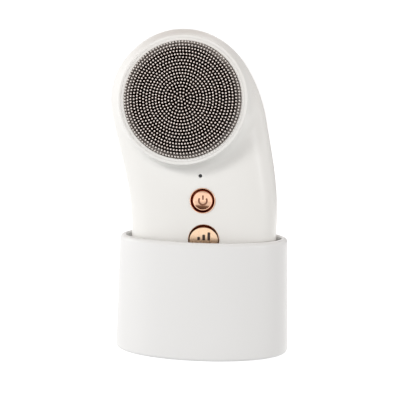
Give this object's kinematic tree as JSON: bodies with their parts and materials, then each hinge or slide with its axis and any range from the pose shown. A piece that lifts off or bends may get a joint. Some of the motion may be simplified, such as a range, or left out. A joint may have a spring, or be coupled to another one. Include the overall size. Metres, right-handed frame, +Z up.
{
  "type": "facial cleansing brush",
  "caption": "Hand-held facial cleansing brush with a round bristle head and two press buttons, standing in an oval charging stand.",
  "frame": {"origin": "on the floor, under the middle of the stand, on the underside of its rubber pad", "axes": "+Z up, the brush and buttons face -Y, +X to the right seen from the front"},
  "size_m": [0.0835, 0.0563, 0.1475],
  "materials": {
    "stand_white": "satin white",
    "soft_grey": "matt silicone",
    "dark_rubber": "matt",
    "steel": "zinc plated",
    "copper": "enamelled wire",
    "ferrite": "matt",
    "board_green": "solder mask",
    "shell_white": "soft satin warm white",
    "grey_plastic": "moulded",
    "black_plastic": "matt",
    "black_gloss": "gloss",
    "rose_gold": "polished rose-gold plating",
    "cell_blue": "sleeve",
    "brass": "turned",
    "bristle_brown": "soft bristle bed, cream tips"
  },
  "bodies": {
    "stand": {"stand_cup": "stand_white", "stand_cradle": "soft_grey", "stand_base_plate": "stand_white", "stand_grip_pad": "dark_rubber", "stand_screw_1": "steel", "stand_screw_2": "steel", "stand_screw_3": "steel", "stand_screw_4": "steel", "transmitter_coil": "copper", "transmitter_ferrite": "ferrite", "dock_board": "board_green", "charging_inlet": "steel"},
    "handset": {"front_shell": "shell_white", "rear_shell": "shell_white", "seam_gasket": "shell_white", "chassis": "grey_plastic", "chassis_screw_1": "steel", "chassis_screw_2": "steel", "chassis_screw_3": "steel", "chassis_screw_4": "steel", "control_board": "board_green", "control_chip": "black_plastic", "indicator_led": "shell_white", "indicator_lens": "black_gloss", "power_bezel": "rose_gold", "power_seal": "soft_grey", "power_switch": "black_plastic", "level_bezel": "rose_gold", "level_seal": "soft_grey", "level_switch": "black_plastic", "battery_cell": "cell_blue", "battery_tray": "grey_plastic", "receiver_coil": "copper", "receiver_ferrite": "ferrite", "motor": "steel", "motor_mount": "grey_plastic", "motor_screw_1": "steel", "motor_screw_2": "steel", "spindle_seal": "dark_rubber"},
    "power_key": {"power_button": "rose_gold"},
    "level_key": {"level_button": "rose_gold"},
    "drive": {"drive_spindle": "brass"},
    "brush_head": {"brush_cup": "shell_white", "bristle_pad": "bristle_brown"}
  },
  "joints": [
    {"name": "handset_lift", "type": "slide", "parent": "stand", "child": "handset", "axis": [0, 0, 1], "range_m": [0, 0.06]},
    {"name": "power_press", "type": "slide", "parent": "handset", "child": "power_key", "axis": [0, 1, 0], "range_m": [0, 0.0004], "stiffness_N_per_m": 1500, "springref_m": -0.0002},
    {"name": "level_press", "type": "slide", "parent": "handset", "child": "level_key", "axis": [0, 1, 0], "range_m": [0, 0.0004], "stiffness_N_per_m": 1500, "springref_m": -0.0002},
    {"name": "brush_spin", "type": "hinge", "parent": "handset", "child": "drive", "pos_m": [-0.008, -0.0225, 0.11635], "axis": [0, -0.9903, 0.1392], "continuous": true},
    {"name": "head_pull", "type": "slide", "parent": "drive", "child": "brush_head", "axis": [0, -0.9903, 0.1392], "range_m": [0, 0.012]}
  ]
}
